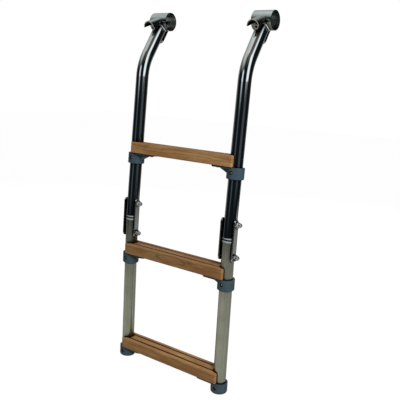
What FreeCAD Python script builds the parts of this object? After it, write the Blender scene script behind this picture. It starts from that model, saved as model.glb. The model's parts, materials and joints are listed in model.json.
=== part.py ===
import FreeCAD, Part

import math
import os

import Sketcher

# Folding swim platform ladder: two bent upper tubes that hang from sleeves, two lower tubes that
# fold up in front of them on pairs of flat links, and three grooved hardwood steps on clamped
# plastic brackets.
# Millimetres. X runs along the steps, -Y faces the climber, +Z is up.
# The origin is on the common axis of the two hook sleeves, midway between the tubes.

SIZES = [
    ("tube_spacing", 240, "between the axes of the left and right tubes"),
    ("tube_diameter", 25, "outside of the tubes"),
    ("tube_wall", 1.5, "wall of the tubes"),
    ("lean_angle", 3.2, "upper section leans back from the lower one, degrees"),
    ("upper_straight", 287.5, "from the joint to the start of the bend"),
    ("bend_radius", 90, "centre line of the bend"),
    ("bend_angle", 29.5, "turn of the bend, degrees"),
    ("arm_length", 81, "from the end of the bend to the sleeve's axis"),
    ("joint_gap", 3, "between the end plugs of upper and lower tubes"),
    ("plug_rim", 2.5, "height of an end plug's rim"),
    ("plug_lip", 0.3, "the rim stands proud of the tube"),
    ("plug_stub", 12, "length of an end plug inside its tube"),
    ("plug_clearance", 0.1, "between plug and tube, on the radius"),
    ("plug_chamfer", 0.6, "edge of an end plug's rim"),
    ("link_pitch", 61.5, "between the two bolts of a link"),
    ("link_width", 13, "width of a link plate"),
    ("link_thickness", 3, "thickness of a link plate"),
    ("link_edge", 0.4, "chamfer round a link plate"),
    ("link_end", 9.5, "from a bolt to the end of the plate"),
    ("link_forward", 3.8, "bolts stand in front of the tube axis"),
    ("link_play", 0.2, "between a link plate and what it slides past"),
    ("bolt_diameter", 6, "shank of a hinge bolt"),
    ("bolt_running", 0.05, "between bolt and link plate, on the radius"),
    ("bolt_seat", 0.05, "between bolt and tube or nut, on the radius"),
    ("head_diameter", 9, "low round head of a hinge bolt"),
    ("head_height", 1.8, "height of that head"),
    ("head_round", 1.5, "rounding of that head"),
    ("nut_flats", 10, "across the flats of a dome nut"),
    ("nut_height", 5, "hexagon of a dome nut"),
    ("nut_flange", 1.2, "flange of a dome nut"),
    ("nut_flange_diameter", 12.5, "outside of that flange"),
    ("dome_diameter", 9, "dome of a dome nut"),
    ("dome_height", 5.8, "height of that dome"),
    ("dome_round", 4.2, "rounding of that dome"),
    ("thread_depth", 8, "depth of a nut's hole"),
    ("step_pitch", 210, "from one step to the next, along the tubes"),
    ("top_step_rise", 156.5, "top of the top step above the joint"),
    ("step_length", 244, "length of a step"),
    ("step_depth", 38, "front to back of a step"),
    ("step_thickness", 22, "thickness of a step"),
    ("step_corner", 3.5, "rounding of a step's corners, seen from above"),
    ("step_round", 2, "rounding of a step's upper and lower edges"),
    ("groove_width", 5, "width of a tread groove"),
    ("groove_depth", 3, "depth of a tread groove"),
    ("groove_offset", 9, "tread groove from the middle of the step"),
    ("notch_clearance", 1.75, "between tube and step, on the radius"),
    ("collar_diameter", 33, "outside of a step bracket's collar"),
    ("collar_height", 21.5, "height of that collar"),
    ("collar_clearance", 0.1, "between collar and tube, on the radius"),
    ("collar_chamfer", 1, "lower edge of a collar"),
    ("tongue_reach", 47, "tip of a bracket's tongue from the tube axis"),
    ("tongue_thickness", 3, "thickness of the tongue under the step"),
    ("tongue_inset", 0.5, "side of the tongue behind the side of the collar"),
    ("tongue_corner", 8, "rounding of the tongue's tip"),
    ("web_reach", 33, "end of the web under the tongue from the tube axis"),
    ("web_depth", 13, "height of the web at the collar"),
    ("web_width", 5, "front to back of the web"),
    ("screw_reach", 40, "wood screw in the tongue from the tube axis"),
    ("screw_hole", 4, "hole for a wood screw or a clamp screw"),
    ("recess_diameter", 7.5, "recess for the clamp screw"),
    ("recess_depth", 2.9, "depth of that recess"),
    ("recess_drop", 9.5, "clamp screw below the step"),
    ("foot_floor", 3, "floor of a foot cap under the tube"),
    ("foot_round", 4, "rounding of a foot cap"),
    ("sleeve_diameter", 36, "outside of a hook sleeve"),
    ("sleeve_wall", 2, "wall of a hook sleeve"),
    ("sleeve_length", 41, "length of a hook sleeve"),
    ("guide_angle", 19, "hook guide dips below level, degrees"),
    ("guide_reach", 46, "front end of the guide from the sleeve's axis"),
    ("guide_wall", 1.6, "wall of the guide"),
    ("strap_width", 12, "width of the strap behind an arm"),
    ("strap_thickness", 4, "thickness of that strap"),
    ("strap_gap", 2, "between strap and arm"),
    ("strap_reach", 39, "lower end of the strap from the sleeve's axis"),
    ("boss_diameter", 9, "boss under the guide"),
    ("boss_bore", 4.5, "hole in the boss"),
    ("boss_bore_depth", 7, "depth of that hole"),
    ("boss_reach", 34.5, "front face of the boss from the sleeve's axis"),
    ("boss_drop", 3.7, "axis of the boss below the guide's axis"),
]

doc = FreeCAD.newDocument("swim_ladder")
sheet = doc.addObject("Spreadsheet::Sheet", "sizes")
for row, (alias, number, meaning) in enumerate(SIZES, 1):
    sheet.set(f"A{row}", meaning)
    sheet.set(f"B{row}", str(number))
    sheet.setAlias(f"B{row}", alias)
doc.recompute()

SIDES = (("left", -1), ("right", 1))
AXIS_X = FreeCAD.Vector(1, 0, 0)
AXIS_Z = FreeCAD.Vector(0, 0, 1)


def size(alias):
    """The number in the sheet's cell of that name."""
    return float(getattr(sheet, alias))


# Shared sizes, as expressions on the sheet
TUBE_RADIUS = "sizes.tube_diameter / 2"
TUBE_INSIDE = "sizes.tube_diameter / 2 - sizes.tube_wall"
TUBE_END = "sizes.joint_gap / 2 + sizes.plug_rim"
HALF_PITCH = "sizes.link_pitch / 2"
SHANK = "sizes.bolt_diameter / 2"
SLEEVE_RADIUS = "sizes.sleeve_diameter / 2"
LINK_INSIDE = "(sizes.tube_diameter / 2 + sizes.plug_lip + sizes.link_play)"
LINK_OUTSIDE = f"({LINK_INSIDE} + sizes.link_thickness)"
LAST_COLLAR = "2 * sizes.step_pitch - sizes.top_step_rise + sizes.step_thickness"


# Where the sections stand

def turned(angle):
    """A turn about X that leans a section back by the angle in degrees."""
    return FreeCAD.Rotation(AXIS_X, -angle)


def sleeve_in_upper():
    """The sleeve's axis seen from the joint, in the leaned upper section."""
    turn = math.radians(size("bend_angle"))
    radius = size("bend_radius")
    back = radius * (1 - math.cos(turn)) + size("arm_length") * math.sin(turn)
    up = size("upper_straight") + radius * math.sin(turn) + size("arm_length") * math.cos(turn)
    return FreeCAD.Vector(0, back, up)


lean = turned(size("lean_angle"))
half_lean = turned(size("lean_angle") / 2)
upper_origin = lean.multVec(sleeve_in_upper()).negative()
upper_bolt = upper_origin + lean.multVec(
    FreeCAD.Vector(0, -size("link_forward"), size("link_pitch") / 2))
lower_bolt = upper_bolt - half_lean.multVec(FreeCAD.Vector(0, 0, size("link_pitch")))
lower_origin = lower_bolt + FreeCAD.Vector(0, size("link_forward"), size("link_pitch") / 2)

UPPER = FreeCAD.Placement(upper_origin, lean)
LINK = FreeCAD.Placement(lower_bolt, half_lean)
LOWER = FreeCAD.Placement(lower_origin, FreeCAD.Rotation())
SLEEVE = FreeCAD.Placement()


def at(section, x=0, y=0, z=0, turn=None):
    """A place in a section's own frame."""
    return section.multiply(FreeCAD.Placement(FreeCAD.Vector(x, y, z), turn or FreeCAD.Rotation()))


# Drawing and feature helpers

nodes = []


def body(label, placement):
    made = doc.addObject("PartDesign::Body", label)
    made.Label = label
    made.Placement = placement
    nodes.append(made)
    return made


def origin_part(owner, role):
    return next(part for part in owner.Origin.OriginFeatures if part.Role == role)


def sketch(owner, role, height="0"):
    """An empty sketch on one of the body's own planes, lifted along the plane's normal."""
    made = owner.newObject("Sketcher::SketchObject", "sketch")
    made.AttachmentSupport = [(origin_part(owner, role), "")]
    made.MapMode = "FlatFace"
    if height != "0":
        made.setExpression("AttachmentOffset.Base.z", height)
    return made


def hold(drawing, geometry, point, x, y):
    """Keep one point of the geometry at x, y from the sketch's origin."""
    spot = drawing.getPoint(geometry, point)
    for kind, length, now in (("DistanceX", x, spot.x), ("DistanceY", y, spot.y)):
        index = drawing.addConstraint(Sketcher.Constraint(kind, -1, 1, geometry, point, now))
        drawing.setExpression(f"Constraints[{index}]", length)


def circle(drawing, radius, x="0", y="0"):
    rough = Part.Circle(FreeCAD.Vector(1, 1, 0), AXIS_Z, 1)
    index = drawing.addGeometry(rough, False)
    hold(drawing, index, 3, x, y)
    datum = drawing.addConstraint(Sketcher.Constraint("Radius", index, 1.0))
    drawing.setExpression(f"Constraints[{datum}]", radius)


def outline(drawing, corners):
    """A closed outline of straight lines through the corners."""
    count = len(corners)
    first = drawing.GeometryCount
    rough = [FreeCAD.Rotation(AXIS_Z, 360 * i / count).multVec(FreeCAD.Vector(9, 0, 0))
             for i in range(count)]
    for i in range(count):
        drawing.addGeometry(Part.LineSegment(rough[i], rough[(i + 1) % count]), False)
    for i in range(count):
        follower = first + (i + 1) % count
        drawing.addConstraint(Sketcher.Constraint("Coincident", first + i, 2, follower, 1))
    for i, (x, y) in enumerate(corners):
        hold(drawing, first + i, 1, x, y)


def rectangle(drawing, low_x, low_y, high_x, high_y):
    outline(drawing, [(low_x, low_y), (high_x, low_y), (high_x, high_y), (low_x, high_y)])


def slot(drawing, radius, low, high):
    """A closed slot along the sketch's Y, with half circles round its points low and high."""
    for x in (-1, 1):
        rough = Part.LineSegment(FreeCAD.Vector(x, -9, 0), FreeCAD.Vector(x, 9, 0))
        drawing.addGeometry(rough, False)
    for y, start in ((9, 0), (-9, math.pi)):
        rough = Part.Circle(FreeCAD.Vector(0, y, 0), AXIS_Z, 1)
        drawing.addGeometry(Part.ArcOfCircle(rough, start, start + math.pi), False)
    left_line, right_line, top_arc, bottom_arc = range(4)
    for line, x in ((left_line, f"-({radius})"), (right_line, radius)):
        hold(drawing, line, 1, x, low)
        hold(drawing, line, 2, x, high)
    for kind, line, line_end, arc, arc_end in (
            ("Tangent", left_line, 2, top_arc, 2), ("Coincident", right_line, 2, top_arc, 1),
            ("Tangent", left_line, 1, bottom_arc, 1), ("Coincident", right_line, 1, bottom_arc, 2)):
        drawing.addConstraint(Sketcher.Constraint(kind, line, line_end, arc, arc_end))


def feature(owner, kind, drawing, length=None, symmetric=False, reverse=False):
    """A Pad or Pocket of the drawing; without a length a Pocket goes through all."""
    made = owner.newObject("PartDesign::" + kind, kind.lower())
    made.Profile = drawing
    if symmetric:
        made.SideType = "Symmetric"
    made.Reversed = reverse
    if length is None:
        made.Type = "ThroughAll"
    else:
        made.setExpression("Length", length)
    doc.recompute()
    return made


def edges_where(shape, test):
    return [f"Edge{i}" for i, edge in enumerate(shape.Edges, 1) if test(edge)]


def ease(owner, kind, amount, test):
    """Round or chamfer the edges of the body that pass the test."""
    base = owner.Tip
    made = owner.newObject("PartDesign::" + kind, kind.lower())
    made.Base = (base, edges_where(base.Shape, test))
    made.setExpression("Radius" if kind == "Fillet" else "Size", amount)
    doc.recompute()
    return made


def flat_at(edge, z):
    """The edge lies level at this height."""
    box = edge.BoundBox
    return abs(box.ZMin - z) < 1e-4 and abs(box.ZMax - z) < 1e-4


def reach_at(edge, x):
    """The edge lies square to X at this place."""
    box = edge.BoundBox
    return abs(box.XMin - x) < 1e-4 and abs(box.XMax - x) < 1e-4


# Tubes

def upper_tube_path(owner):
    """Centre line of an upper tube: straight, bend, straight arm to the sleeve's axis."""
    path = sketch(owner, "YZ_Plane")
    turn = math.radians(size("bend_angle"))
    radius = size("bend_radius")
    foot = size("joint_gap") / 2 + size("plug_rim")
    bend_start = FreeCAD.Vector(0, size("upper_straight"), 0)
    centre = FreeCAD.Vector(radius, size("upper_straight"), 0)
    bend_end = centre + FreeCAD.Vector(-radius * math.cos(turn), radius * math.sin(turn), 0)
    arm = FreeCAD.Vector(math.sin(turn), math.cos(turn), 0) * size("arm_length")
    path.addGeometry(Part.LineSegment(FreeCAD.Vector(0, foot, 0), bend_start), False)
    bend = Part.Circle(centre, AXIS_Z, radius)
    path.addGeometry(Part.ArcOfCircle(bend, math.pi - turn, math.pi), False)
    path.addGeometry(Part.LineSegment(bend_end, bend_end + arm), False)
    hold(path, 0, 1, "0", TUBE_END)
    hold(path, 0, 2, "0", "sizes.upper_straight")
    path.addConstraint(Sketcher.Constraint("Tangent", 0, 2, 1, 2))
    path.addConstraint(Sketcher.Constraint("Tangent", 1, 1, 2, 1))
    for kind, geometry, value, expression in (
            ("Radius", [1], radius, "sizes.bend_radius"),
            ("Distance", [2], size("arm_length"), "sizes.arm_length"),
            ("Angle", [2], math.pi / 2 - turn, "90 deg - sizes.bend_angle * 1 deg")):
        index = path.addConstraint(Sketcher.Constraint(kind, *geometry, value))
        path.setExpression(f"Constraints[{index}]", expression)
    doc.recompute()
    return path


def bolt_hole(owner, z):
    """The hinge bolt's hole through both walls of a tube, in front of its axis."""
    hole = sketch(owner, "YZ_Plane")
    circle(hole, f"{SHANK} + sizes.bolt_seat", "-sizes.link_forward", z)
    feature(owner, "Pocket", hole, symmetric=True)


def upper_tube(label, x):
    owner = body(label, at(UPPER, x))
    path = upper_tube_path(owner)
    ring = sketch(owner, "XY_Plane", TUBE_END)
    circle(ring, TUBE_RADIUS)
    circle(ring, TUBE_INSIDE)
    tube = owner.newObject("PartDesign::AdditivePipe", "tube")
    tube.Profile = ring
    tube.Spine = (path, ["Edge1", "Edge2", "Edge3"])
    doc.recompute()
    bolt_hole(owner, HALF_PITCH)
    end = sleeve_in_upper()
    cope = sketch(owner, "YZ_Plane")
    cope.AttachmentOffset = FreeCAD.Placement(
        FreeCAD.Vector(end.y, end.z, 0),
        FreeCAD.Rotation(AXIS_Z, size("guide_angle") + size("lean_angle")))
    circle(cope, SLEEVE_RADIUS)
    feature(owner, "Pocket", cope, symmetric=True)
    trim = sketch(owner, "YZ_Plane")
    trim.AttachmentOffset = cope.AttachmentOffset
    rectangle(trim, "-sizes.sleeve_diameter", "0", "0", "sizes.sleeve_diameter")
    feature(owner, "Pocket", trim, symmetric=True)


def lower_tube(label, x):
    owner = body(label, at(LOWER, x))
    ring = sketch(owner, "XY_Plane", f"-({TUBE_END})")
    circle(ring, TUBE_RADIUS)
    circle(ring, TUBE_INSIDE)
    reach = f"{LAST_COLLAR} + sizes.collar_height - sizes.foot_floor"
    feature(owner, "Pad", ring, f"{reach} - ({TUBE_END})", reverse=True)
    bolt_hole(owner, f"-({HALF_PITCH})")


def end_plug(label, section, x, turn):
    """Plastic plug that closes a tube at the joint: a rim over the end and a stub inside."""
    owner = body(label, at(section, x, turn=turn))
    half_gap = "sizes.joint_gap / 2"
    lip = f"{TUBE_RADIUS} + sizes.plug_lip"
    stub = f"{TUBE_INSIDE} - sizes.plug_clearance"
    stub_end = f"{TUBE_END} + sizes.plug_stub"
    profile = sketch(owner, "XZ_Plane")
    outline(profile, [
        ("0", half_gap),
        (f"{lip} - sizes.plug_chamfer", half_gap),
        (lip, f"{half_gap} + sizes.plug_chamfer"),
        (lip, TUBE_END),
        (stub, TUBE_END),
        (stub, stub_end),
        ("0", stub_end),
    ])
    turned_plug = owner.newObject("PartDesign::Revolution", "plug")
    turned_plug.Profile = profile
    turned_plug.ReferenceAxis = (profile, ["V_Axis"])
    turned_plug.Angle = 360
    doc.recompute()


# Hinge

def link_plate(label, x, side):
    """Flat link with rounded ends beside a tube; side is -1 or 1 along X."""
    owner = body(label, at(LINK, x))
    plate = sketch(owner, "YZ_Plane", LINK_INSIDE if side > 0 else f"-{LINK_OUTSIDE}")
    half = "sizes.link_width / 2"
    beyond = f"sizes.link_end - {half}"
    slot(plate, half, f"-({beyond})", f"sizes.link_pitch + {beyond}")
    feature(owner, "Pad", plate, "sizes.link_thickness")
    ease(owner, "Chamfer", "sizes.link_edge", lambda edge: edge.BoundBox.XLength < 1e-4)
    holes = sketch(owner, "YZ_Plane")
    for z in ("0", "sizes.link_pitch"):
        circle(holes, f"{SHANK} + sizes.bolt_running", "0", z)
    feature(owner, "Pocket", holes, symmetric=True)


def bolt_face():
    """Where the head and the nut of a hinge bolt sit, from the tube's axis."""
    inside = size("tube_diameter") / 2 + size("plug_lip") + size("link_play")
    return inside + size("link_thickness") + size("link_play")


def hinge_bolt(label, section, x, z):
    """Bolt along X through a tube and its two links, with a low round head on the left."""
    owner = body(label, at(section, x, -size("link_forward"), z))
    under_head = f"{LINK_OUTSIDE} + sizes.link_play"
    shank_end = f"{LINK_OUTSIDE} + sizes.link_play + sizes.thread_depth - sizes.bolt_seat"
    head = sketch(owner, "YZ_Plane", f"-({under_head})")
    circle(head, "sizes.head_diameter / 2")
    feature(owner, "Pad", head, "sizes.head_height", reverse=True)
    face = bolt_face() + size("head_height")
    ease(owner, "Fillet", "sizes.head_round", lambda edge: reach_at(edge, -face))
    shank = sketch(owner, "YZ_Plane", f"-({under_head})")
    circle(shank, SHANK)
    feature(owner, "Pad", shank, f"{under_head} + {shank_end}")


def dome_nut(label, section, x, z):
    """Dome nut on the right end of a hinge bolt."""
    owner = body(label, at(section, x, -size("link_forward"), z))
    seat = f"{LINK_OUTSIDE} + sizes.link_play"
    flange = sketch(owner, "YZ_Plane", seat)
    circle(flange, "sizes.nut_flange_diameter / 2")
    feature(owner, "Pad", flange, "sizes.nut_flange")
    hexagon = sketch(owner, "YZ_Plane", seat)
    corner = "sizes.nut_flats / 2 / cos(30 deg)"
    outline(hexagon, [(f"{corner} * cos({60 * i} deg)", f"{corner} * sin({60 * i} deg)")
                      for i in range(6)])
    feature(owner, "Pad", hexagon, "sizes.nut_height")
    dome = sketch(owner, "YZ_Plane", seat)
    circle(dome, "sizes.dome_diameter / 2")
    feature(owner, "Pad", dome, "sizes.nut_height + sizes.dome_height")
    top = bolt_face() + size("nut_height") + size("dome_height")
    ease(owner, "Fillet", "sizes.dome_round", lambda edge: reach_at(edge, top))
    bore = sketch(owner, "YZ_Plane", seat)
    circle(bore, f"{SHANK} + sizes.bolt_seat")
    feature(owner, "Pocket", bore, "sizes.thread_depth", reverse=True)


# Steps and their brackets

def step(label, section, z):
    """Hardwood step with two tread grooves and a round notch for the tube at each end."""
    owner = body(label, at(section, z=z))
    half = "sizes.step_depth / 2"
    plank = sketch(owner, "YZ_Plane")
    rectangle(plank, f"-{half}", "-sizes.step_thickness", half, "0")
    feature(owner, "Pad", plank, "sizes.step_length", symmetric=True)
    ease(owner, "Fillet", "sizes.step_corner",
         lambda edge: edge.BoundBox.XLength < 1e-4 and edge.BoundBox.YLength < 1e-4)
    underside = -size("step_thickness")
    ease(owner, "Fillet", "sizes.step_round",
         lambda edge: flat_at(edge, 0) or flat_at(edge, underside))
    grooves = sketch(owner, "YZ_Plane")
    for side in (-1, 1):
        middle = f"{side} * sizes.groove_offset"
        rectangle(grooves, f"{middle} - sizes.groove_width / 2", "-sizes.groove_depth",
                  f"{middle} + sizes.groove_width / 2", "sizes.groove_depth")
    feature(owner, "Pocket", grooves, symmetric=True)
    notches = sketch(owner, "XY_Plane")
    for side in (-1, 1):
        circle(notches, f"{TUBE_RADIUS} + sizes.notch_clearance", f"{side} * sizes.tube_spacing / 2")
    feature(owner, "Pocket", notches, symmetric=True)


def bracket(label, section, x, z, inward, foot=False):
    """Plastic collar round a tube with a tongue under the step; a foot cap closes the tube."""
    owner = body(label, at(section, x, z=z))
    disc = sketch(owner, "XY_Plane")
    circle(disc, "sizes.collar_diameter / 2")
    feature(owner, "Pad", disc, "sizes.collar_height", reverse=True)
    bottom = -size("collar_height")
    if foot:
        ease(owner, "Fillet", "sizes.foot_round", lambda edge: flat_at(edge, bottom))
    else:
        ease(owner, "Chamfer", "sizes.collar_chamfer", lambda edge: flat_at(edge, bottom))
    tongue = sketch(owner, "XY_Plane")
    side = "(sizes.collar_diameter / 2 - sizes.tongue_inset)"
    rectangle(tongue, "0", f"-{side}", f"{inward} * sizes.tongue_reach", side)
    feature(owner, "Pad", tongue, "sizes.tongue_thickness", reverse=True)
    tip = inward * size("tongue_reach")
    ease(owner, "Fillet", "sizes.tongue_corner",
         lambda edge: reach_at(edge, tip) and edge.BoundBox.YLength < 1e-4)
    web = sketch(owner, "XZ_Plane")
    reach = f"{inward} * sizes.web_reach"
    outline(web, [("0", "0"), (reach, "0"), (reach, "-sizes.tongue_thickness"),
                  ("0", "-sizes.web_depth")])
    feature(owner, "Pad", web, "sizes.web_width", symmetric=True)
    bore = sketch(owner, "XY_Plane")
    circle(bore, f"{TUBE_RADIUS} + sizes.collar_clearance")
    if foot:
        feature(owner, "Pocket", bore, "sizes.collar_height - sizes.foot_floor")
    else:
        feature(owner, "Pocket", bore)
    wood_screw = sketch(owner, "XY_Plane")
    circle(wood_screw, "sizes.screw_hole / 2", f"{inward} * sizes.screw_reach")
    feature(owner, "Pocket", wood_screw)
    for diameter, depth in (("sizes.recess_diameter", "sizes.recess_depth"),
                            ("sizes.screw_hole", "sizes.collar_diameter / 2")):
        clamp_screw = sketch(owner, "XZ_Plane", "sizes.collar_diameter / 2")
        circle(clamp_screw, f"{diameter} / 2", "0", "-sizes.recess_drop")
        feature(owner, "Pocket", clamp_screw, depth)


# Hooks on top of the arms

def solid(kind, sizes_by_name, placement=None):
    made = doc.addObject("Part::" + kind, kind.lower())
    for name, expression in sizes_by_name.items():
        made.setExpression(name, expression)
    if placement:
        made.Placement = placement
    return made


def rod(radius, length, centre, direction):
    """A cylinder of that length from the centre along the direction."""
    return solid("Cylinder", {"Radius": radius, "Height": length},
                 FreeCAD.Placement(centre, FreeCAD.Rotation(AXIS_Z, direction)))


def cut(base, tools):
    for tool in tools:
        less = doc.addObject("Part::Cut", "cut")
        less.Base = base
        less.Tool = tool
        base = less
    return base


def finished(made, label, placement):
    made.Label = label
    made.Placement = placement
    nodes.append(made)


def toward(angle):
    """Unit vector that points to the front and dips below level by the angle in degrees."""
    return FreeCAD.Vector(0, -math.cos(math.radians(angle)), -math.sin(math.radians(angle)))


GUIDE_WAY = toward(size("guide_angle"))
GUIDE_UP = GUIDE_WAY.cross(AXIS_X)
ARM_WAY = toward(90 - size("bend_angle") - size("lean_angle"))
ARM_BACK = AXIS_X.cross(ARM_WAY)
CENTRE = FreeCAD.Vector()


def sleeve_blank(radius):
    half = FreeCAD.Vector(-size("sleeve_length") / 2, 0, 0)
    return rod(radius, "sizes.sleeve_length", half, AXIS_X)


def hook_sleeve(label, x):
    tube = cut(sleeve_blank(SLEEVE_RADIUS), [sleeve_blank(f"{SLEEVE_RADIUS} - sizes.sleeve_wall")])
    finished(tube, label, at(SLEEVE, x))


def hook_guide(label, x):
    """Half tube, open below, that leads forward and down from the sleeve."""
    shell = rod(TUBE_RADIUS, "sizes.guide_reach", CENTRE, GUIDE_WAY)
    inside = rod(f"{TUBE_RADIUS} - sizes.guide_wall", "sizes.guide_reach", CENTRE, GUIDE_WAY)
    turn = FreeCAD.Rotation(AXIS_X, GUIDE_WAY.negative(), GUIDE_UP, "XYZ")
    corner = GUIDE_WAY * size("guide_reach") - AXIS_X * size("tube_diameter") / 2
    corner = corner - GUIDE_UP * size("tube_diameter")
    below = solid("Box", {"Length": "sizes.tube_diameter", "Width": "sizes.guide_reach",
                          "Height": "sizes.tube_diameter"}, FreeCAD.Placement(corner, turn))
    finished(cut(shell, [inside, below, sleeve_blank(SLEEVE_RADIUS)]), label, at(SLEEVE, x))


def arm_blank():
    """The arm's outer cylinder, to fit the neighbours of the arm against."""
    return rod(TUBE_RADIUS, "sizes.arm_length", CENTRE, ARM_WAY)


def hook_boss(label, x):
    """Drilled boss that stands out of the arm below the guide."""
    start = GUIDE_UP * -size("boss_drop")
    blank = rod("sizes.boss_diameter / 2", "sizes.boss_reach", start, GUIDE_WAY)
    mouth = start + GUIDE_WAY * (size("boss_reach") - size("boss_bore_depth"))
    bore = rod("sizes.boss_bore / 2", "sizes.boss_bore_depth", mouth, GUIDE_WAY)
    finished(cut(blank, [bore, arm_blank(), sleeve_blank(SLEEVE_RADIUS)]), label, at(SLEEVE, x))


def hook_strap(label, x):
    """Flat strap from the underside of the sleeve down behind the arm, with a round end."""
    gap = size("tube_diameter") / 2 + size("strap_gap")
    half = size("strap_width") / 2
    turn = FreeCAD.Rotation(AXIS_X, ARM_BACK, ARM_WAY.negative(), "XYZ")
    low = ARM_BACK * gap + ARM_WAY * (size("strap_reach") - half)
    bar = solid("Box", {"Length": "sizes.strap_width", "Width": "sizes.strap_thickness",
                        "Height": "sizes.strap_reach - sizes.strap_width / 2"},
                FreeCAD.Placement(low - AXIS_X * half, turn))
    end = rod("sizes.strap_width / 2", "sizes.strap_thickness", low, ARM_BACK)
    whole = doc.addObject("Part::Fuse", "strap")
    whole.Base = bar
    whole.Tool = end
    finished(cut(whole, [sleeve_blank(SLEEVE_RADIUS)]), label, at(SLEEVE, x))


# The whole ladder

half_spacing = size("tube_spacing") / 2
upside_down = FreeCAD.Rotation(AXIS_X, 180)
top_step_z = size("top_step_rise")
middle_step_z = top_step_z - size("step_pitch")
bottom_step_z = middle_step_z - size("step_pitch")
bolt_z = size("link_pitch") / 2

for side_name, side in SIDES:
    tube_x = side * half_spacing
    upper_tube("upper_rail_" + side_name, tube_x)
    end_plug("upper_plug_" + side_name, UPPER, tube_x, FreeCAD.Rotation())
    hook_sleeve("hook_sleeve_" + side_name, tube_x)
    hook_guide("hook_guide_" + side_name, tube_x)
    hook_boss("hook_boss_" + side_name, tube_x)
    hook_strap("hook_strap_" + side_name, tube_x)
    bracket("top_bracket_" + side_name, UPPER, tube_x, top_step_z - size("step_thickness"), -side)
    hinge_bolt("upper_bolt_" + side_name, UPPER, tube_x, bolt_z)
    dome_nut("upper_nut_" + side_name, UPPER, tube_x, bolt_z)

    link_plate(side_name + "_link_inner", tube_x, -side)
    link_plate(side_name + "_link_outer", tube_x, side)

    lower_tube("lower_rail_" + side_name, tube_x)
    end_plug("lower_plug_" + side_name, LOWER, tube_x, upside_down)
    bracket("middle_bracket_" + side_name, LOWER, tube_x,
            middle_step_z - size("step_thickness"), -side)
    bracket("foot_bracket_" + side_name, LOWER, tube_x,
            bottom_step_z - size("step_thickness"), -side, foot=True)
    hinge_bolt("lower_bolt_" + side_name, LOWER, tube_x, -bolt_z)
    dome_nut("lower_nut_" + side_name, LOWER, tube_x, -bolt_z)

step("top_step", UPPER, top_step_z)
step("middle_step", LOWER, middle_step_z)
step("bottom_step", LOWER, bottom_step_z)

doc.recompute()

# Check, then write one file for each piece

for made in doc.Objects:
    if {"Invalid", "Error"} & set(made.State):
        raise RuntimeError(f"{made.Name} ({made.Label}) could not be made: {made.State}")
os.makedirs("parts", exist_ok=True)
for node in nodes:
    if node.Shape.isNull() or not node.Shape.isValid() or not node.Shape.Solids:
        raise RuntimeError(f"{node.Label} has no valid shape")
for node in nodes:
    node.Shape.exportStep(f"parts/{node.Label}.step")

print("upper hinge axis", upper_bolt)
print("lower hinge axis", lower_bolt)
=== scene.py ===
import json
import math

import bmesh
import bpy
from bpy.props import FloatProperty, FloatVectorProperty, IntProperty, PointerProperty
from mathutils import Matrix, Vector


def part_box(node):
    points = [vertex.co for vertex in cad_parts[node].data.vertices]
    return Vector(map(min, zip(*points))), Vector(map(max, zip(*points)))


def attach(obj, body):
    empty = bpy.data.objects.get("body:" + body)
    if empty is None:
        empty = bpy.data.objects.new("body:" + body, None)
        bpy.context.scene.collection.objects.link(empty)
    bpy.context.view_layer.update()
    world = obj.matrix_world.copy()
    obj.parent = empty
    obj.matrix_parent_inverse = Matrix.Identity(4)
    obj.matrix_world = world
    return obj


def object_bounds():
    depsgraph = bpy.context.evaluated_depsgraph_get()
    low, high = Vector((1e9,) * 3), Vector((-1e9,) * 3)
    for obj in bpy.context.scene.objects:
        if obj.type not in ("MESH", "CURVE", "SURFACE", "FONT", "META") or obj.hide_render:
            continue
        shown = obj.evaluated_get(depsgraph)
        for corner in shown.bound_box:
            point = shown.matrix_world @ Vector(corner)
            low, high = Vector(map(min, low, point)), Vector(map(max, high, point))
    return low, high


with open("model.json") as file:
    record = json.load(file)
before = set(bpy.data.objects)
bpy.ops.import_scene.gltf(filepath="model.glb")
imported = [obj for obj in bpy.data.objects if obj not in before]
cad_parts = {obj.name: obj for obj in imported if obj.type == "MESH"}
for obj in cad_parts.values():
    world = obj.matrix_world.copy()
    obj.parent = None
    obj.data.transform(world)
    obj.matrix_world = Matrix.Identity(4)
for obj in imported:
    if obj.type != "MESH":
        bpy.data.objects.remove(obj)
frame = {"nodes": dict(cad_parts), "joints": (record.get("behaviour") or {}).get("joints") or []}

bl_info = {
    "name": "Swim ladder finish",
    "version": (1, 0, 0),
    "blender": (4, 5, 0),
    "location": "View3D > Sidebar > Swim ladder",
    "description": "Finishes and small fasteners of a folding swim platform ladder, and its stage",
    "category": "Object",
}

# Lengths are in metres, written as so many MM where that reads better. +Z is up and -Y faces the climber.
MM = 0.001
SIDES = (-1, 1)
CAD_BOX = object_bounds()
STEPS = ("top_step", "middle_step", "bottom_step")
BLACK = (0.0, 0.0, 0.0)
WHITE = (1.0, 1.0, 1.0)


def both(stem):
    """The left and right node of one kind."""
    return (stem + "_left", stem + "_right")


def put_in_scene(name, data):
    """A new object with this data, in the scene."""
    made = bpy.data.objects.new(name, data)
    bpy.context.scene.collection.objects.link(made)
    return made


# Sizes and colours that the sidebar shows

def colour(label, about, default):
    return FloatVectorProperty(name=label, description=about, subtype="COLOR", size=3,
                               min=0.0, max=4.0, default=default)


def length(label, about, default):
    return FloatProperty(name=label, description=about, unit="LENGTH", min=0.0, default=default)


def share(label, about, default, top=1.0):
    return FloatProperty(name=label, description=about, subtype="FACTOR", min=0.0, max=top,
                         default=default)


def degrees(label, about, default):
    return FloatProperty(name=label, description=about, subtype="ANGLE",
                         default=math.radians(default))


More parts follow.
